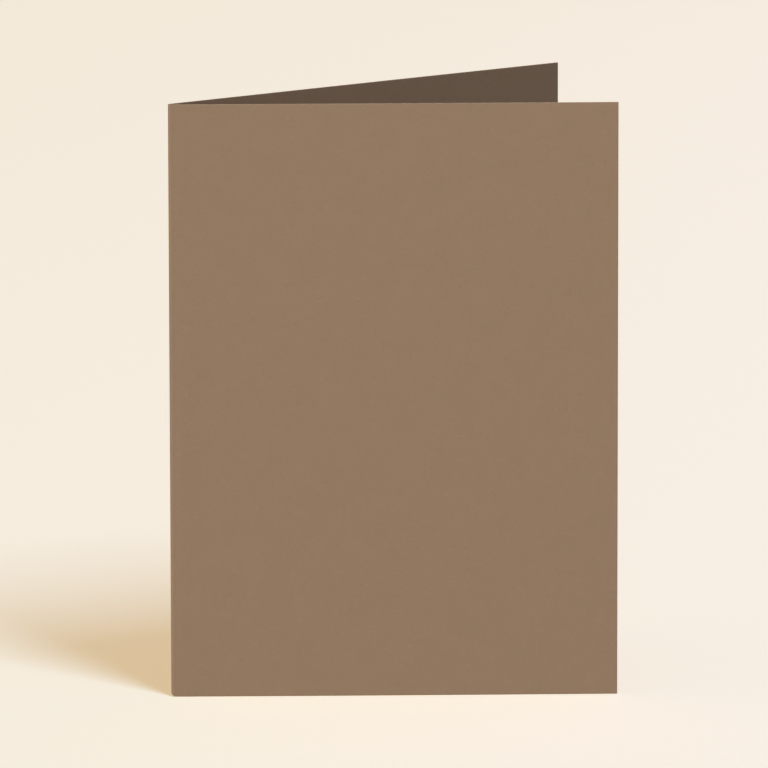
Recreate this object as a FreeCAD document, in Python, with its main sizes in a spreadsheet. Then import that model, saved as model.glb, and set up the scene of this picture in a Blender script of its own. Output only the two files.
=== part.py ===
"""Greeting card: one sheet of plain card stock, scored down its middle and folded once.

The card stands on its lower edges, half open like a book. Seen from the front, the fold
is at the left, the cover faces -Y and the back leaf swings away behind it.
Millimetres, +Z up. The origin is the middle of the space that the card stands in, on the floor.
"""
import FreeCAD, Part
import math
import os

import Sketcher

doc = FreeCAD.newDocument("greeting_card")

# Driving dimensions. A leaf is measured on the folded card, from the fold to the free edge.
sizes = doc.addObject("Spreadsheet::Sheet", "sizes")
DIMENSIONS = [
    ("leaf_width", "117.475"),     # 4 5/8 in, half of the flat sheet
    ("leaf_height", "158.75"),     # 6 1/4 in
    ("stock_thickness", "0.4"),    # heavy card stock, about 300 g/m2
    ("fold_radius", "0.35"),       # inside of the scored fold
    ("opening_angle", "28"),       # between the two leaves, in degrees
    ("worn_foot_radius", "1.25"),  # the blunted lower end of the fold
]
for row, (name, value) in enumerate(DIMENSIONS, start=1):
    sizes.set(f"A{row}", name)
    sizes.set(f"B{row}", value)
    sizes.setAlias(f"B{row}", name)
doc.recompute()

# The same sizes as expressions of the sheet, for the sketches to follow.
FOLD_OUTSIDE = "(sizes.fold_radius + sizes.stock_thickness)"
FLAT_LENGTH = f"(sizes.leaf_width - {FOLD_OUTSIDE})"
STANDING_DEPTH = (f"({FOLD_OUTSIDE} + {FLAT_LENGTH} * sin(sizes.opening_angle * 1 deg)"
                  f" + {FOLD_OUTSIDE} * cos(sizes.opening_angle * 1 deg))")

START, END, CENTRE = 1, 2, 3       # the points of a line or an arc
SKETCH_ORIGIN = -1                 # its point START is where the sketch's axes cross
UP = FreeCAD.Vector(0, 0, 1)


def new_sketch(body, name, role):
    """An empty sketch on one of the body's own origin planes."""
    plane = next(plane for plane in body.Origin.OriginFeatures if plane.Role == role)
    sketch = body.newObject("Sketcher::SketchObject", name)
    sketch.AttachmentSupport = [(plane, "")]
    sketch.MapMode = "FlatFace"
    return sketch


def bind(sketch, name, expression, kind, places, value):
    """Adds a size to the sketch, names it and ties it to the sheet of sizes."""
    index = sketch.addConstraint(Sketcher.Constraint(kind, *places, value))
    sketch.renameConstraint(index, name)
    sketch.setExpression(f"Constraints.{name}", expression)


def fold_section(body):
    """The card seen from above: two straight leaves joined by the round of the fold."""
    opening = math.radians(sizes.opening_angle)
    inside = sizes.fold_radius
    outside = inside + sizes.stock_thickness
    flat = sizes.leaf_width - outside
    depth = outside + flat * math.sin(opening) + outside * math.cos(opening)

    centre = FreeCAD.Vector(outside - sizes.leaf_width / 2, outside - depth / 2, 0)
    along_cover = FreeCAD.Vector(1, 0, 0)
    along_back = FreeCAD.Vector(math.cos(opening), math.sin(opening), 0)
    out_of_cover = FreeCAD.Vector(0, -1, 0)
    out_of_back = FreeCAD.Vector(-math.sin(opening), math.cos(opening), 0)

    cover_fold = centre + out_of_cover * outside
    cover_edge = cover_fold + along_cover * flat
    cover_inside_fold = centre + out_of_cover * inside
    cover_inside_edge = cover_inside_fold + along_cover * flat
    back_fold = centre + out_of_back * outside
    back_edge = back_fold + along_back * flat
    back_inside_fold = centre + out_of_back * inside
    back_inside_edge = back_inside_fold + along_back * flat
    bend = (math.pi / 2 + opening, 3 * math.pi / 2)

    sketch = new_sketch(body, "fold_section", "XY_Plane")
    sketch.addGeometry([
        Part.LineSegment(cover_fold, cover_edge),
        Part.LineSegment(cover_edge, cover_inside_edge),
        Part.LineSegment(cover_inside_edge, cover_inside_fold),
        Part.ArcOfCircle(Part.Circle(centre, UP, inside), *bend),
        Part.LineSegment(back_inside_fold, back_inside_edge),
        Part.LineSegment(back_inside_edge, back_edge),
        Part.LineSegment(back_edge, back_fold),
        Part.ArcOfCircle(Part.Circle(centre, UP, outside), *bend),
    ], False)
    cover, cover_end, cover_inside, bend_inside = 0, 1, 2, 3
    back_inside, back_end, back, bend_outside = 4, 5, 6, 7
    sketch.addConstraint([
        Sketcher.Constraint("Coincident", cover, END, cover_end, START),
        Sketcher.Constraint("Coincident", cover_end, END, cover_inside, START),
        Sketcher.Constraint("Tangent", cover_inside, END, bend_inside, END),
        Sketcher.Constraint("Tangent", bend_inside, START, back_inside, START),
        Sketcher.Constraint("Coincident", back_inside, END, back_end, START),
        Sketcher.Constraint("Coincident", back_end, END, back, START),
        Sketcher.Constraint("Tangent", back, END, bend_outside, START),
        Sketcher.Constraint("Tangent", bend_outside, END, cover, START),
        Sketcher.Constraint("Coincident", bend_inside, CENTRE, bend_outside, CENTRE),
        Sketcher.Constraint("Horizontal", cover),
        Sketcher.Constraint("Horizontal", cover_inside),
        Sketcher.Constraint("Vertical", cover_end),
        Sketcher.Constraint("Parallel", back_inside, back),
        Sketcher.Constraint("Perpendicular", back_end, back),
        Sketcher.Constraint("Equal", cover, back),
    ])
    fold_to_origin = (bend_outside, CENTRE, SKETCH_ORIGIN, START)
    bind(sketch, "fold_inside", "sizes.fold_radius", "Radius", (bend_inside,), inside)
    bind(sketch, "fold_outside", FOLD_OUTSIDE, "Radius", (bend_outside,), outside)
    bind(sketch, "flat_length", FLAT_LENGTH, "DistanceX", (cover, START, cover, END), flat)
    bind(sketch, "opening", "sizes.opening_angle * 1 deg", "Angle",
         (cover_inside, END, back_inside, START), opening)
    bind(sketch, "half_width", f"sizes.leaf_width / 2 - {FOLD_OUTSIDE}", "DistanceX",
         fold_to_origin, -centre.x)
    bind(sketch, "half_depth", f"{STANDING_DEPTH} / 2 - {FOLD_OUTSIDE}", "DistanceY",
         fold_to_origin, -centre.y)
    return sketch


def worn_corner_section(body):
    """The corner that wear has taken off the foot of the fold, seen from the front."""
    radius = sizes.worn_foot_radius
    corner = FreeCAD.Vector(-sizes.leaf_width / 2, 0, 0)
    on_floor = corner + FreeCAD.Vector(radius, 0, 0)
    on_fold = corner + FreeCAD.Vector(0, radius, 0)
    round_centre = corner + FreeCAD.Vector(radius, radius, 0)

    sketch = new_sketch(body, "worn_corner_section", "XZ_Plane")
    sketch.addGeometry([
        Part.LineSegment(corner, on_floor),
        Part.ArcOfCircle(Part.Circle(round_centre, UP, radius), math.pi, 3 * math.pi / 2),
        Part.LineSegment(on_fold, corner),
    ], False)
    floor_line, rounding, fold_line = 0, 1, 2
    sketch.addConstraint([
        Sketcher.Constraint("Coincident", fold_line, END, floor_line, START),
        Sketcher.Constraint("Tangent", floor_line, END, rounding, END),
        Sketcher.Constraint("Tangent", rounding, START, fold_line, START),
        Sketcher.Constraint("Horizontal", floor_line),
        Sketcher.Constraint("Vertical", fold_line),
        Sketcher.Constraint("PointOnObject", floor_line, START, SKETCH_ORIGIN),
    ])
    bind(sketch, "worn_round", "sizes.worn_foot_radius", "Radius", (rounding,), radius)
    bind(sketch, "half_width", "sizes.leaf_width / 2", "DistanceX",
         (floor_line, START, SKETCH_ORIGIN, START), -corner.x)
    return sketch


# The folded card. The section is carried up to the height of the sheet, and the foot of the
# fold is then blunted where it has stood and rubbed on the table.
card = doc.addObject("PartDesign::Body", "folded_card")
card.Label = "folded_card"

leaves_section = fold_section(card)
leaves = card.newObject("PartDesign::Pad", "leaves")
leaves.Profile = leaves_section
leaves.setExpression("Length", "sizes.leaf_height")
doc.recompute()

foot_section = worn_corner_section(card)
worn_foot = card.newObject("PartDesign::Pocket", "worn_foot")
worn_foot.Profile = foot_section
worn_foot.Type = "ThroughAll"
worn_foot.Midplane = True
card.Tip = worn_foot
doc.recompute()

if worn_foot.Shape.Volume >= leaves.Shape.Volume:
    raise RuntimeError("the worn corner was not cut off the foot of the fold")
for thing in doc.Objects:
    if "Invalid" in thing.State or "Error" in thing.State:
        raise RuntimeError(f"{thing.Label} did not build: {thing.State}")
if card.Shape.isNull() or not card.Shape.isValid() or len(card.Shape.Solids) != 1:
    raise RuntimeError(f"{card.Label} is not one valid solid")

os.makedirs("parts", exist_ok=True)
card.Shape.exportStep(f"parts/{card.Label}.step")

room = card.Shape.BoundBox
print(f"{card.Label}: {room.XLength:.3f} x {room.YLength:.3f} x {room.ZLength:.3f} mm, "
      f"{card.Shape.Volume:.1f} mm3")
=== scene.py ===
"""A blank greeting card of plain brown card stock, standing a little open on a pale table.
Lengths are in metres, but for the camera's lens, which Blender takes in millimetres."""
import math

import bmesh
import bpy
from mathutils import Matrix, Vector


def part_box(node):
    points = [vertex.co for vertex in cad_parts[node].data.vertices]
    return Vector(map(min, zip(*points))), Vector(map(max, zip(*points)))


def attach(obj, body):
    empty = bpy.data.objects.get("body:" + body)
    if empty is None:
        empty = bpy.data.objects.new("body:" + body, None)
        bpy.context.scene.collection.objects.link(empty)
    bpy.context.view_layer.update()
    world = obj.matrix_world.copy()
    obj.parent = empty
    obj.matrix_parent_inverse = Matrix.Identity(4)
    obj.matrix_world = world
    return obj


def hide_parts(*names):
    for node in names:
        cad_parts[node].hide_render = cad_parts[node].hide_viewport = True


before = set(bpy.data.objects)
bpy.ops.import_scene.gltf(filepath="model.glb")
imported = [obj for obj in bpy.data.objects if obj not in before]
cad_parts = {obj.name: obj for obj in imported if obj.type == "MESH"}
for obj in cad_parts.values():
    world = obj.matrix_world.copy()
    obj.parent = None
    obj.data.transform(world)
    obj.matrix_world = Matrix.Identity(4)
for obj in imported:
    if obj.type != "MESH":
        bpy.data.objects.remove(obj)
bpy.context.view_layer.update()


# The folded card: one sheet of uncoated card stock, cut square, pressed with a scoring rule
# down its middle and folded once. The score leaves a shallow shoulder each side of the fold,
# and the cut edges are a little soft. It stands on its lower edges and holds itself open.
MM = 0.001
STOCK = 0.4 * MM
FOLD_INSIDE = 0.35 * MM
FOLD_OUTSIDE = FOLD_INSIDE + STOCK
LEAF_BOW = 0.22 * MM
WORN_FOOT = 1.25 * MM
EDGE_SOFTNESS = 0.06 * MM

# The shoulder is a shallow valley: how far past the fold it lies, how far it spreads each
# way, and how deep it is.
SHOULDER_PLACE = 0.72 * MM
SHOULDER_SPREAD = 0.432 * MM
SHOULDER_DEPTH = 0.03 * MM

card_low, card_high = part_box("folded_card")
leaf_height = card_high.z - card_low.z
flat_leaf = card_high.x - card_low.x - FOLD_OUTSIDE

# The depth of the card, less the round of the fold, gives the angle that it stands open.
depth_past_fold = card_high.y - card_low.y - FOLD_OUTSIDE
opening = (math.asin(depth_past_fold / math.hypot(flat_leaf, FOLD_OUTSIDE))
           - math.atan2(FOLD_OUTSIDE, flat_leaf))
turn = math.pi - opening
bend = turn * (FOLD_INSIDE + STOCK / 2)

# How finely the sheet is divided: the fold, the shoulder, the foot and the last row before
# a cut edge have rows of their own, so that their shading stays beside them.
BEND_STEPS = 9
SHOULDER_REACH = 2.4 * MM
SHOULDER_STEPS = 8
FOOT_REACH = 3.6 * MM
FOOT_STEPS = 12
LEAF_STEP = 2.1 * MM
EDGE_ROW = 0.25 * MM

# An edge whose faces turn by more than the first angle is a cut edge, and is softened. The
# shading is smooth wherever they turn by less than the second.
CUT_EDGE_ANGLE = math.radians(45)
SMOOTH_ANGLE = math.radians(40)
SOFT_EDGE_STEPS = 2


def spaced(start, end, steps):
    """Evenly spaced places from start to end, without the start."""
    return [start + (end - start) * i / steps for i in range(1, steps + 1)]


def cut_blank():
    """The flat sheet as it is cut: X runs across it from the fold, Y into the stock, Z up."""
    shoulder_end = bend / 2 + SHOULDER_REACH
    leaf_end = bend / 2 + flat_leaf
    half = spaced(0, bend / 2, BEND_STEPS)
    half += spaced(bend / 2, shoulder_end, SHOULDER_STEPS)
    half += spaced(shoulder_end, leaf_end - EDGE_ROW, round(flat_leaf / LEAF_STEP)) + [leaf_end]
    across = [-x for x in reversed(half)] + [0] + half
    upright = [0, EDGE_ROW] + spaced(EDGE_ROW, FOOT_REACH, FOOT_STEPS)
    upright += spaced(FOOT_REACH, leaf_height - EDGE_ROW, round(leaf_height / LEAF_STEP))
    upright += [leaf_height]

    blank = bmesh.new()
    outer, inner = [[[blank.verts.new((x, y, z)) for z in upright] for x in across]
                    for y in (0, STOCK)]
    for i in range(len(across) - 1):
        for j in range(len(upright) - 1):
            for side in (outer, inner):
                blank.faces.new((side[i][j], side[i + 1][j], side[i + 1][j + 1], side[i][j + 1]))
    rim = [(outer[i][j], outer[i + 1][j], inner[i + 1][j], inner[i][j])
           for i in range(len(across) - 1) for j in (0, -1)]
    rim += [(outer[i][j], outer[i][j + 1], inner[i][j + 1], inner[i][j])
            for j in range(len(upright) - 1) for i in (0, -1)]
    cut_edge = blank.faces.layers.float.new("cut_edge")
    for corners in rim:
        blank.faces.new(corners)[cut_edge] = 1.0
    bmesh.ops.recalc_face_normals(blank, faces=blank.faces)
    arris = [edge for edge in blank.edges if edge.calc_face_angle() > CUT_EDGE_ANGLE]
    bmesh.ops.bevel(blank, geom=arris, offset=EDGE_SOFTNESS, segments=SOFT_EDGE_STEPS,
                    profile=0.5, affect="EDGES", clamp_overlap=True)
    mesh = bpy.data.meshes.new("card_blank")
    blank.to_mesh(mesh)
    blank.free()
    return mesh


def add_node(tree, kind, settings, *values, **named):
    """Adds one node and gives its first output in use. The values, sockets or plain ones, fill
    the inputs in use, in order, and the named ones fill the inputs of those names."""
    node = tree.nodes.new(kind)
    for setting, value in settings.items():
        setattr(node, setting, value)
    filled = list(zip([socket for socket in node.inputs if socket.enabled], values))
    filled += [(node.inputs[name.replace("_", " ")], value) for name, value in named.items()]
    for socket, value in filled:
        if isinstance(value, bpy.types.NodeSocket):
            tree.links.new(value, socket)
        else:
            socket.default_value = value
    return next((socket for socket in node.outputs if socket.enabled), None)


MATH = "ShaderNodeMath"
PLUS = {"operation": "ADD"}
LESS = {"operation": "SUBTRACT"}
TIMES = {"operation": "MULTIPLY"}
OVER = {"operation": "DIVIDE"}
LARGER = {"operation": "MAXIMUM"}
SMALLER = {"operation": "MINIMUM"}
UNSIGNED = {"operation": "ABSOLUTE"}


def scored_fold():
    """The rule that turns the flat sheet into the standing card."""
    tree = bpy.data.node_groups.new("scored fold", "GeometryNodeTree")
    tree.interface.new_socket("Sheet", in_out="INPUT", socket_type="NodeSocketGeometry")
    for name in ("Outside Radius", "Bend Length", "Leaf Length", "Opening", "Turn", "Fold X",
                 "Fold Y", "Shoulder Place", "Shoulder Spread", "Shoulder Depth", "Bow",
                 "Worn Foot", "Foot Reach"):
        tree.interface.new_socket(name, in_out="INPUT", socket_type="NodeSocketFloat")
    tree.interface.new_socket("Stock", in_out="INPUT", socket_type="NodeSocketMaterial")
    tree.interface.new_socket("Card", in_out="OUTPUT", socket_type="NodeSocketGeometry")
    given = add_node(tree, "NodeGroupInput", {}).node.outputs
    flat_place = add_node(tree, "GeometryNodeInputPosition", {})
    along, into, height = add_node(tree, "ShaderNodeSeparateXYZ", {}, flat_place).node.outputs

    # Around the fold the sheet turns evenly; past it, each leaf runs straight.
    half_bend = add_node(tree, MATH, TIMES, given["Bend Length"], 0.5)
    other_half = add_node(tree, MATH, TIMES, given["Bend Length"], -0.5)
    up_to_bend = add_node(tree, MATH, SMALLER, along, half_bend)
    in_bend = add_node(tree, MATH, LARGER, up_to_bend, other_half)
    past_bend = add_node(tree, MATH, LESS, along, in_bend)
    bend_share = add_node(tree, MATH, OVER, in_bend, given["Bend Length"])
    turned = add_node(tree, MATH, TIMES, bend_share, given["Turn"])
    half_opening = add_node(tree, MATH, TIMES, given["Opening"], 0.5)
    facing_fold = add_node(tree, MATH, PLUS, half_opening, math.pi)
    facing = add_node(tree, MATH, PLUS, facing_fold, turned)
    out_x = add_node(tree, MATH, {"operation": "COSINE"}, facing)
    out_y = add_node(tree, MATH, {"operation": "SINE"}, facing)

    # The score presses a shallow valley into the outside, beside the fold.
    distance = add_node(tree, MATH, UNSIGNED, past_bend)
    from_valley = add_node(tree, MATH, LESS, distance, given["Shoulder Place"])
    spreads_off = add_node(tree, MATH, OVER, from_valley, given["Shoulder Spread"])
    spreads_squared = add_node(tree, MATH, TIMES, spreads_off, spreads_off)
    falling = add_node(tree, MATH, TIMES, spreads_squared, -1.0)
    valley = add_node(tree, MATH, {"operation": "EXPONENT"}, falling)
    pressed = add_node(tree, MATH, TIMES, valley, given["Shoulder Depth"])

    # The spring of the stock bows each leaf outwards by a hair.
    leaf_share = add_node(tree, MATH, OVER, distance, given["Leaf Length"])
    half_circle = add_node(tree, MATH, TIMES, leaf_share, math.pi)
    arch = add_node(tree, MATH, {"operation": "SINE"}, half_circle)
    bowed = add_node(tree, MATH, TIMES, arch, given["Bow"])

    # Each point goes out from the fold's centre line by its layer's radius, and then along.
    layer_radius = add_node(tree, MATH, LESS, given["Outside Radius"], into)
    pressed_radius = add_node(tree, MATH, LESS, layer_radius, pressed)
    radius = add_node(tree, MATH, PLUS, pressed_radius, bowed)
    fold_line = add_node(tree, "ShaderNodeCombineXYZ", {}, given["Fold X"], given["Fold Y"], height)
    out = add_node(tree, "ShaderNodeCombineXYZ", {}, out_x, out_y)
    to_edge = add_node(tree, "ShaderNodeVectorMath", {"operation": "CROSS_PRODUCT"}, (0, 0, 1), out)
    outwards = add_node(tree, "ShaderNodeVectorMath", {"operation": "SCALE"}, out, radius)
    sideways = add_node(tree, "ShaderNodeVectorMath", {"operation": "SCALE"}, to_edge, past_bend)
    at_fold = add_node(tree, "ShaderNodeVectorMath", PLUS, fold_line, outwards)
    folded = add_node(tree, "ShaderNodeVectorMath", PLUS, at_fold, sideways)

    # Wear has rounded the foot of the fold, so the lowest rows rise there.
    folded_x = add_node(tree, "ShaderNodeSeparateXYZ", {}, folded)
    round_centre = add_node(tree, MATH, LESS, given["Worn Foot"], given["Outside Radius"])
    centre_x = add_node(tree, MATH, PLUS, given["Fold X"], round_centre)
    past_centre = add_node(tree, MATH, LESS, centre_x, folded_x)
    into_round = add_node(tree, MATH, LARGER, past_centre, 0.0)
    in_round = add_node(tree, MATH, SMALLER, into_round, given["Worn Foot"])
    radius_squared = add_node(tree, MATH, TIMES, given["Worn Foot"], given["Worn Foot"])
    round_squared = add_node(tree, MATH, TIMES, in_round, in_round)
    drop_squared = add_node(tree, MATH, LESS, radius_squared, round_squared)
    drop = add_node(tree, MATH, {"operation": "SQRT"}, drop_squared)
    foot_rise = add_node(tree, MATH, LESS, given["Worn Foot"], drop)
    height_share = add_node(tree, MATH, OVER, height, given["Foot Reach"])
    foot_share = add_node(tree, MATH, LESS, 1.0, height_share)
    low_share = add_node(tree, MATH, LARGER, foot_share, 0.0)
    rise = add_node(tree, MATH, TIMES, foot_rise, low_share)
    upwards = add_node(tree, "ShaderNodeCombineXYZ", {}, 0.0, 0.0, rise)
    standing = add_node(tree, "ShaderNodeVectorMath", PLUS, folded, upwards)

    marked = add_node(tree, "GeometryNodeStoreNamedAttribute",
                      {"data_type": "FLOAT", "domain": "POINT"},
                      Geometry=given["Sheet"], Name="from_fold", Value=along)
    moved = add_node(tree, "GeometryNodeSetPosition", {}, Geometry=marked, Position=standing)
    whole = add_node(tree, "GeometryNodeRealizeInstances", {}, moved)
    dressed = add_node(tree, "GeometryNodeSetMaterial", {}, Geometry=whole,
                       Material=given["Stock"])
    add_node(tree, "NodeGroupOutput", {}, dressed)
    return tree


def linear(hex_colour):
    """An sRGB hex colour as linear red, green and blue, and a solid alpha."""
    channels = [int(hex_colour[i:i + 2], 16) / 255 for i in (1, 3, 5)]
    return [c / 12.92 if c <= 0.04045 else ((c + 0.055) / 1.055) ** 2.4 for c in channels] + [1.0]


def empty_tree(owner):
    """The node tree of a material or world, emptied of the nodes that it starts with."""
    owner.use_nodes = True
    owner.node_tree.nodes.clear()
    return owner.node_tree


NOISE = "ShaderNodeTexNoise"
RANGE = "ShaderNodeMapRange"
MIX = "ShaderNodeMix"
COLOURS = {"data_type": "RGBA"}

STOCK_BROWN = "#94785f"
STOCK_DEEP = "#90755b"
STOCK_WORN = "#a98c70"
FIBRE_PALE = "#a88b70"
FIBRE_DARK = "#7a6149"
STOCK_ROUGHNESS = 0.88
ROUGHNESS_SPREAD = 0.04
PAPER_IOR = 1.5
PAPER_GLOSS = 0.3

# The tooth of the real stock is about 0.1 mm and its fibres 0.03 mm wide: both are drawn
# coarser here, so that they show. The clouds, the fibres' curl and their length are real.
CLOUD_SIZE = 7 * MM
CLOUD_HEIGHT = 0.04 * MM
TOOTH_SIZE = 0.4 * MM
TOOTH_HEIGHT = 0.014 * MM
FIBRE_CURL = 2.6 * MM
FIBRE_LENGTH = 1.7 * MM
FIBRE_WIDTH = 0.08 * MM
FIBRE_LAYERS = 4
LAYER_SHIFT = (31 * MM, 17 * MM, 43 * MM)
WORN_WIDTH = 0.7 * MM

# How strongly each shows, from 0 to 1, and the clouds' share in how deep the brown is.
FIBRE_SHOW = 0.12
WORN_SHOW = 0.45
CUT_SHOW = 0.7
CLOUD_SHARE = 0.5

# Nearly all of a noise lies between its low and high. A fibre fades in where the patches rise
# from start to full. Detail, roughness and distortion are the noises' own settings.
NOISE_LOW, NOISE_MIDDLE, NOISE_HIGH = 0.3, 0.5, 0.7
PATCH_START, PATCH_FULL = 0.52, 0.6
CLOUD_DETAIL, CLOUD_ROUGHNESS = 3.0, 0.55
TOOTH_DETAIL, TOOTH_ROUGHNESS = 3.0, 0.6
CURL_DETAIL, CURL_DISTORTION = 1.0, 0.6


def uncoated_card_stock():
    """Uncoated brown card stock, pressed on felt. The eye sees a dead matt, even brown, faint
    clouds where the pulp settled, a fine tooth, and a few short, curled fibres, pale or dark.
    The cut edges and the worn back of the fold are a shade lighter: the fibres are open."""
    material = bpy.data.materials.new("uncoated brown card stock")
    tree = empty_tree(material)
    place = add_node(tree, "ShaderNodeTexCoord", {}).node.outputs["Object"]
    clouds = add_node(tree, NOISE, {}, Vector=place, Scale=1 / CLOUD_SIZE,
                      Detail=CLOUD_DETAIL, Roughness=CLOUD_ROUGHNESS)
    tooth = add_node(tree, NOISE, {}, Vector=place, Scale=1 / TOOTH_SIZE,
                     Detail=TOOTH_DETAIL, Roughness=TOOTH_ROUGHNESS)

    # How deep the brown is at each place: partly the clouds, partly the tooth.
    cloud_part = add_node(tree, RANGE, {}, Value=clouds, From_Min=NOISE_LOW,
                          From_Max=NOISE_HIGH, To_Min=0.0, To_Max=CLOUD_SHARE)
    tooth_part = add_node(tree, RANGE, {}, Value=tooth, From_Min=NOISE_LOW,
                          From_Max=NOISE_HIGH, To_Min=1 - CLOUD_SHARE, To_Max=0.0)
    depth = add_node(tree, MATH, PLUS, cloud_part, tooth_part)
    colour = add_node(tree, MIX, COLOURS, depth, linear(STOCK_BROWN), linear(STOCK_DEEP))

    # A fibre is a short piece of the middle level line of a noise as wide as its curls.
    for layer in range(FIBRE_LAYERS):
        shifted = add_node(tree, "ShaderNodeMapping", {}, Vector=place,
                           Location=Vector(LAYER_SHIFT) * layer)
        curl = add_node(tree, NOISE, {}, Vector=shifted, Scale=1 / FIBRE_CURL,
                        Detail=CURL_DETAIL, Distortion=CURL_DISTORTION)
        level = add_node(tree, MATH, LESS, curl, NOISE_MIDDLE)
        off_line = add_node(tree, MATH, UNSIGNED, level)
        line = add_node(tree, RANGE, {}, Value=off_line, From_Min=0.0,
                        From_Max=FIBRE_WIDTH / FIBRE_CURL, To_Min=1.0, To_Max=0.0)
        patches = add_node(tree, NOISE, {}, Vector=shifted, Scale=1 / FIBRE_LENGTH, Detail=0.0)
        kept = add_node(tree, RANGE, {}, Value=patches, From_Min=PATCH_START,
                        From_Max=PATCH_FULL, To_Min=0.0, To_Max=FIBRE_SHOW)
        fibre = add_node(tree, MATH, TIMES, line, kept)
        shade = FIBRE_DARK if layer % 2 else FIBRE_PALE
        colour = add_node(tree, MIX, COLOURS, fibre, colour, linear(shade))

    # Wear: the outside of the fold, broken up by the tooth, and all the cut edges.
    from_fold = add_node(tree, "ShaderNodeAttribute",
                         {"attribute_name": "from_fold"}).node.outputs["Fac"]
    beside_fold = add_node(tree, MATH, UNSIGNED, from_fold)
    on_fold = add_node(tree, RANGE, {}, Value=beside_fold, From_Min=0.0, From_Max=WORN_WIDTH,
                       To_Min=WORN_SHOW, To_Max=0.0)
    rubbed = add_node(tree, MATH, TIMES, on_fold, tooth)
    cut_edge = add_node(tree, "ShaderNodeAttribute",
                        {"attribute_name": "cut_edge"}).node.outputs["Fac"]
    cut = add_node(tree, MATH, TIMES, cut_edge, CUT_SHOW)
    worn = add_node(tree, MATH, LARGER, rubbed, cut)
    colour = add_node(tree, MIX, COLOURS, worn, colour, linear(STOCK_WORN))

    clouds_up = add_node(tree, "ShaderNodeBump", {}, Height=clouds, Distance=CLOUD_HEIGHT,
                         Strength=1.0)
    tooth_up = add_node(tree, "ShaderNodeBump", {}, Height=tooth, Distance=TOOTH_HEIGHT,
                        Strength=1.0, Normal=clouds_up)
    dullness = add_node(tree, RANGE, {}, Value=tooth, From_Min=NOISE_LOW, From_Max=NOISE_HIGH,
                        To_Min=STOCK_ROUGHNESS - ROUGHNESS_SPREAD,
                        To_Max=STOCK_ROUGHNESS + ROUGHNESS_SPREAD)
    surface = add_node(tree, "ShaderNodeBsdfPrincipled", {}, Base_Color=colour,
                       Roughness=dullness, IOR=PAPER_IOR, Specular_IOR_Level=PAPER_GLOSS,
                       Normal=tooth_up)
    add_node(tree, "ShaderNodeOutputMaterial", {}, Surface=surface)
    return material


def add_object(name, data):
    """Puts an object with this mesh, light or camera into the scene."""
    placed = bpy.data.objects.new(name, data)
    bpy.context.scene.collection.objects.link(placed)
    return placed


fold_values = {
    "Outside Radius": FOLD_OUTSIDE, "Bend Length": bend, "Leaf Length": flat_leaf,
    "Opening": opening, "Turn": turn, "Fold X": card_low.x + FOLD_OUTSIDE,
    "Fold Y": card_low.y + FOLD_OUTSIDE, "Shoulder Place": SHOULDER_PLACE,
    "Shoulder Spread": SHOULDER_SPREAD, "Shoulder Depth": SHOULDER_DEPTH, "Bow": LEAF_BOW,
    "Worn Foot": WORN_FOOT, "Foot Reach": FOOT_REACH, "Stock": uncoated_card_stock(),
}
blank = add_object("card_blank", cut_blank())
fold = blank.modifiers.new("scored fold", "NODES")
fold.node_group = scored_fold()
for item in fold.node_group.interface.items_tree:
    if item.in_out == "INPUT" and item.name in fold_values:
        fold[item.identifier] = fold_values[item.name]
bpy.context.view_layer.update()
folded_blank = blank.evaluated_get(bpy.context.evaluated_depsgraph_get())
card_mesh = bpy.data.meshes.new_from_object(folded_blank)
bpy.data.objects.remove(blank)

card = add_object("card_sheet", card_mesh)
card_mesh.shade_smooth()
card_mesh.set_sharp_from_angle(angle=SMOOTH_ANGLE)
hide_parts("folded_card")
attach(card, "root")


# The table: a wide, smooth, pale top, lit a little from within, so that the card's shadow on
# it stays warm and soft. It throws no light back at the card, which has lights of its own.
TABLE_HALF = 6.0
TABLE_WHITE = "#ece8e2"
TABLE_GLOW = "#c4ab7c"
TABLE_ROUGHNESS = 0.9

table_mesh = bpy.data.meshes.new("table_top")
table_corners = [(-TABLE_HALF, -TABLE_HALF, 0), (TABLE_HALF, -TABLE_HALF, 0),
                 (TABLE_HALF, TABLE_HALF, 0), (-TABLE_HALF, TABLE_HALF, 0)]
table_mesh.from_pydata(table_corners, [], [(0, 1, 2, 3)])
table_material = bpy.data.materials.new("pale smooth table top")
table_tree = empty_tree(table_material)
table_skin = add_node(table_tree, "ShaderNodeBsdfPrincipled", {},
                      Base_Color=linear(TABLE_WHITE), Roughness=TABLE_ROUGHNESS,
                      Specular_IOR_Level=0.0, Emission_Color=linear(TABLE_GLOW),
                      Emission_Strength=1.0)
add_node(table_tree, "ShaderNodeOutputMaterial", {}, Surface=table_skin)
table_mesh.materials.append(table_material)
table = add_object("table_top", table_mesh)
table.visible_diffuse = False


# The light: a tall cool softbox from the front right lays the card's shadow to the left, and a
# long faint strip cools the table at the right. The card's own are above and beside its open
# side, for the inside, low in front and raking from the left, for the cover, and behind.
CARD_MIDDLE = Vector((0, 0, leaf_height / 2))
WARM_WHITE = "#fffcf7"

# The low softbox stands a little to the right of the card's middle, and lower.
LOW_SOFTBOX_X = 0.05
LOW_SOFTBOX_Z = 0.07


def softbox(name, turned, raised, distance, size, power, colour, lit):
    """A softbox that faces the card's middle from so many degrees to the right of its front,
    and so many up. Its power is in watts, and it lights only the one object."""
    light = bpy.data.lights.new(name, "AREA")
    light.shape = "RECTANGLE"
    light.size, light.size_y = size
    light.energy = power
    light.color = linear(colour)[:3]
    box = add_object(name, light)
    level = math.cos(math.radians(raised))
    away = Vector((math.sin(math.radians(turned)) * level,
                   -math.cos(math.radians(turned)) * level, math.sin(math.radians(raised))))
    box.location = CARD_MIDDLE + away * distance
    box.rotation_euler = away.to_track_quat("Z", "Y").to_euler()
    box.visible_camera = False
    box.light_linking.receiver_collection = bpy.data.collections.new(f"{name} lights")
    box.light_linking.receiver_collection.objects.link(lit)
    return box


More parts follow.
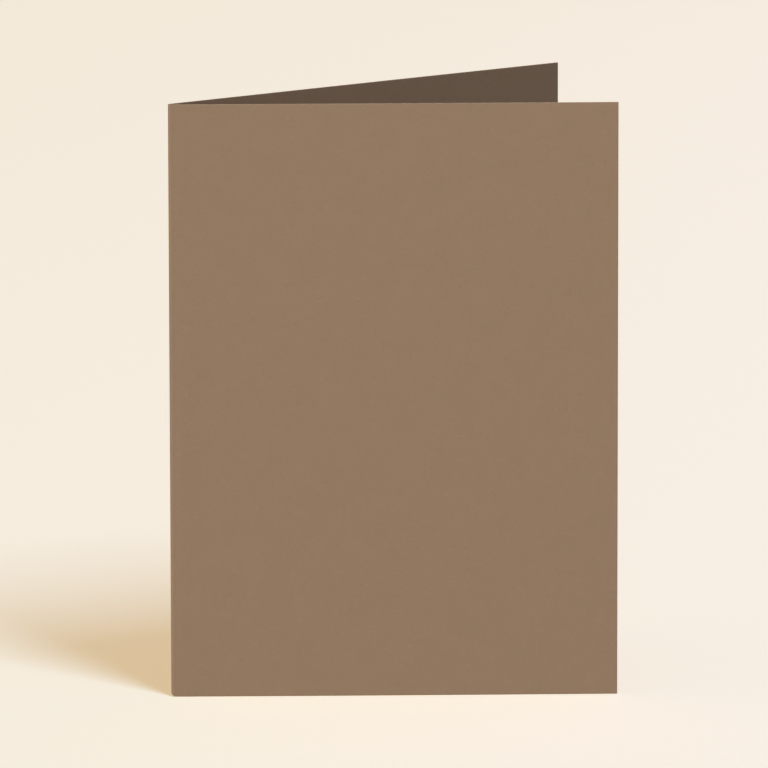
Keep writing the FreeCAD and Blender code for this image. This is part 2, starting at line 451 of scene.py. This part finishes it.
softbox("key softbox", turned=36.5, raised=55, distance=14.0, size=(3.8, 6.9), power=1302,
        colour="#bcdefa", lit=table)
softbox("strip softbox", turned=90, raised=29, distance=0.5, size=(2.4, 0.2), power=1.11,
        colour="#b99dff", lit=table)
softbox("top softbox", turned=15, raised=60, distance=3.0, size=(2.0, 2.0), power=47,
        colour="#dcecff", lit=card)
softbox("side softbox", turned=100, raised=20, distance=2.5, size=(1.3, 1.3), power=21,
        colour="#daedff", lit=card)
softbox("raking softbox", turned=-66, raised=14, distance=5.0, size=(1.5, 2.0), power=137,
        colour=WARM_WHITE, lit=card)
softbox("back softbox", turned=195, raised=30, distance=1.5, size=(0.9, 0.9), power=18,
        colour=WARM_WHITE, lit=card)
low_softbox = softbox("low softbox", turned=0, raised=0, distance=1.3, size=(0.5, 0.11),
                      power=7.15, colour="#fffdfb", lit=card)
low_softbox.location.x = LOW_SOFTBOX_X
low_softbox.location.z = LOW_SOFTBOX_Z


# The room: a dim, even, grey glow from all sides, which lights the card and the table. Past
# the far end of the table the eye sees a pale wall instead.
ROOM_GLOW = "#6c6c6f"
ROOM_SEEN = "#f7ede2"

room = bpy.data.worlds.new("room")
room_tree = empty_tree(room)
glow = add_node(room_tree, "ShaderNodeBackground", {}, Color=linear(ROOM_GLOW))
seen = add_node(room_tree, "ShaderNodeBackground", {}, Color=linear(ROOM_SEEN))
to_eye = add_node(room_tree, "ShaderNodeLightPath", {}).node.outputs["Is Camera Ray"]
either = add_node(room_tree, "ShaderNodeMixShader", {}, to_eye, glow, seen)
add_node(room_tree, "ShaderNodeOutputWorld", {}, Surface=either)
bpy.context.scene.world = room


# The camera: a long lens from a little above, square to the cover but for one degree, and
# level but for a tenth of a degree.
LENS = 549.8
CAMERA_DISTANCE = 3.1007
CAMERA_PITCH = math.radians(12.326)
CAMERA_YAW = math.radians(1.162)
CAMERA_ROLL = math.radians(-0.115)
LOOKED_AT = Vector((-0.0020, 0.0, 0.0778))

camera_data = bpy.data.cameras.new("camera")
camera_data.lens = LENS
ahead = Vector((math.sin(CAMERA_YAW) * math.cos(CAMERA_PITCH),
                math.cos(CAMERA_YAW) * math.cos(CAMERA_PITCH), -math.sin(CAMERA_PITCH)))
level_right = ahead.cross(Vector((0, 0, 1))).normalized()
level_up = level_right.cross(ahead)
right = level_right * math.cos(CAMERA_ROLL) + level_up * math.sin(CAMERA_ROLL)
up = right.cross(ahead)
camera = add_object("camera", camera_data)
camera.matrix_world = (Matrix.Translation(LOOKED_AT - ahead * CAMERA_DISTANCE)
                       @ Matrix((right, up, -ahead)).transposed().to_4x4())
bpy.context.scene.camera = camera

bpy.context.scene.view_settings.view_transform = "Standard"
bpy.context.scene.view_settings.look = "None"
